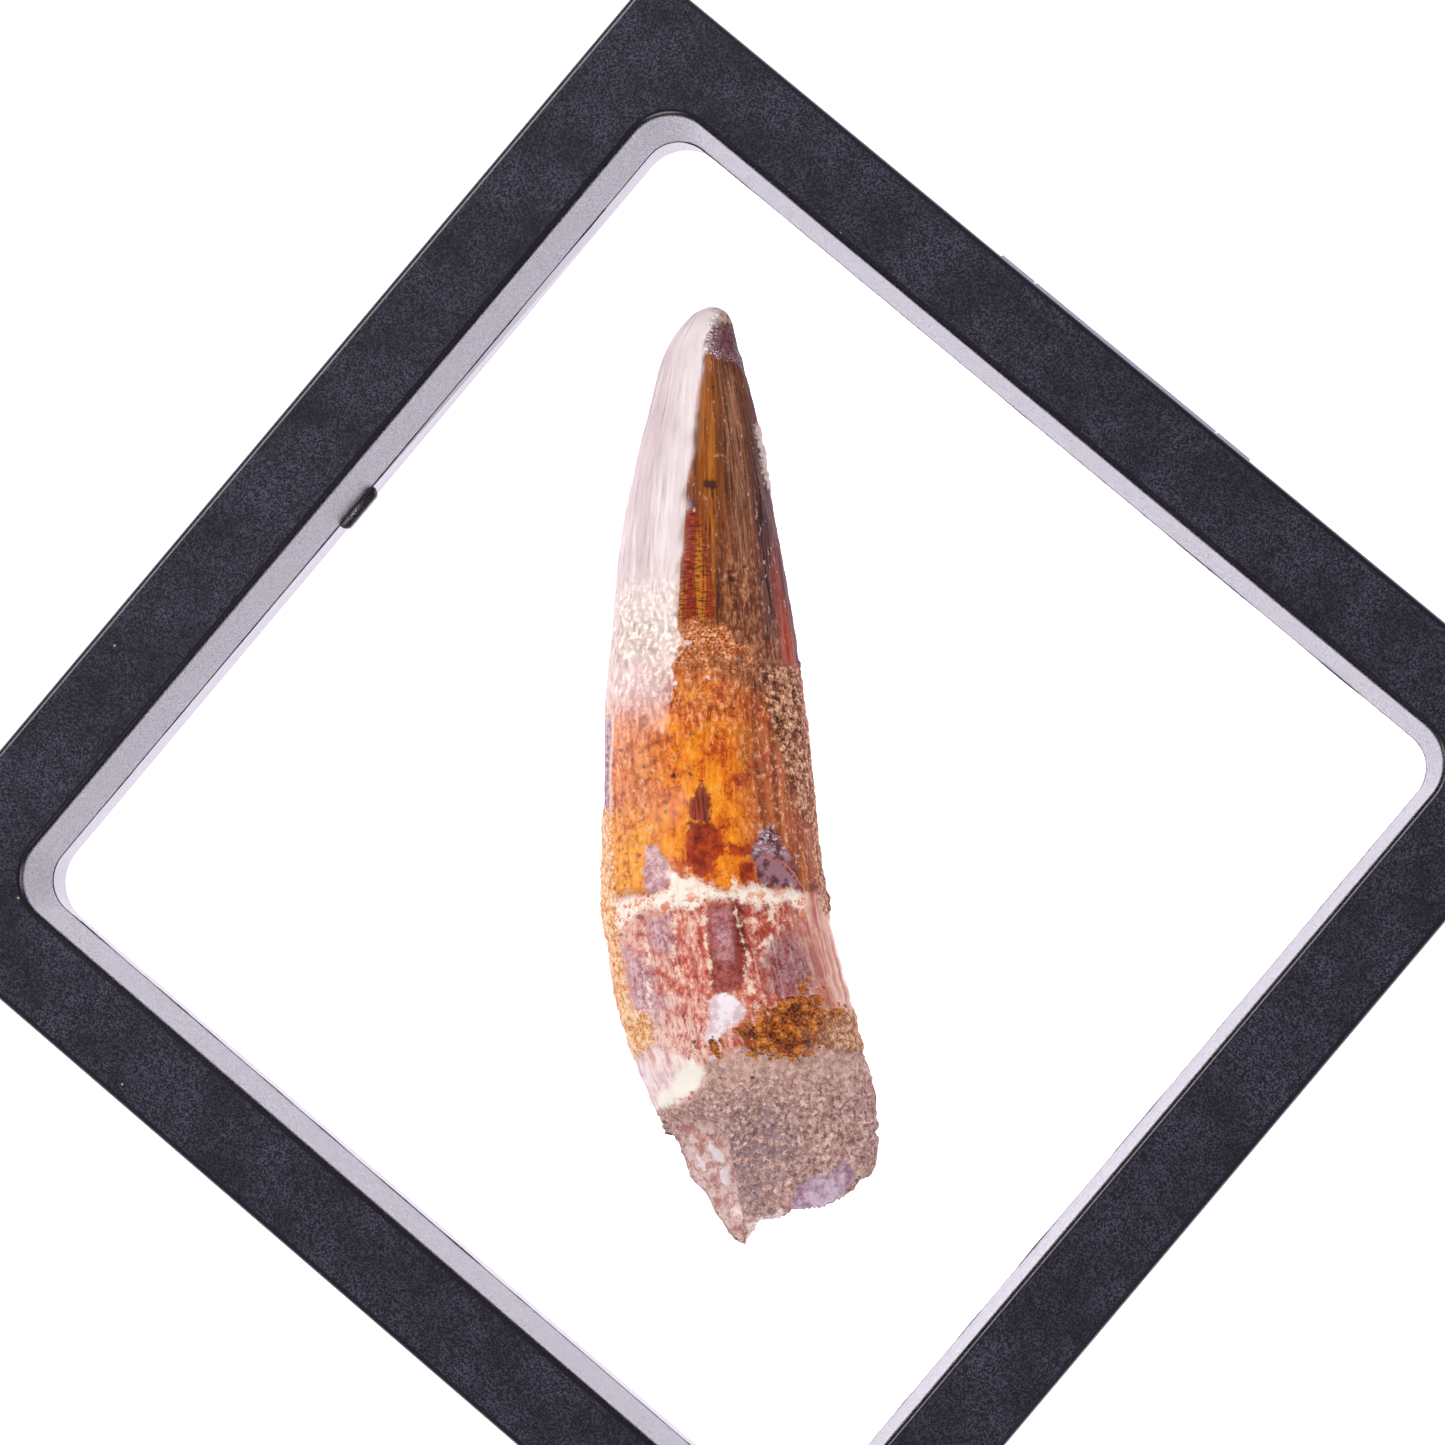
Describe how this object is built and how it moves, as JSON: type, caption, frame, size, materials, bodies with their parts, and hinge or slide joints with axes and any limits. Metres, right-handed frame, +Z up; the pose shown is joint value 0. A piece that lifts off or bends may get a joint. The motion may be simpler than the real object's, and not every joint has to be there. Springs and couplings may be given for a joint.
{
  "type": "framed fossil tooth",
  "caption": "Fossil spinosaurus tooth held between two clear stretched films in a square black frame whose halves open on a hinge.",
  "frame": {"origin": "on the ground under the middle of the closed frame, the hinge barrel included", "axes": "+Z up out of the frame's front face, +Y towards the hinge side, +X towards the window wall opposite the small lug"},
  "size_m": [0.11, 0.1112, 0.02],
  "materials": {
    "frame_plastic": "black moulded plastic with a fine spark-eroded grain on the faces and smooth window walls",
    "clear_film": "thin clear stretched film",
    "fossil_tooth": "amber to brown enamel with fine grooves, a bleached facet, sandy crusts and a grainy stone-filled root"
  },
  "bodies": {
    "back_half": {"back_frame": "frame_plastic", "back_film": "clear_film", "tooth": "fossil_tooth"},
    "front_half": {"front_frame": "frame_plastic", "front_film": "clear_film"}
  },
  "joints": [
    {"name": "frame_hinge", "type": "hinge", "parent": "back_half", "child": "front_half", "pos_m": [0, 0.05475, 0.01], "axis": [-1, 0, 0], "range_deg": [0, 180]}
  ]
}
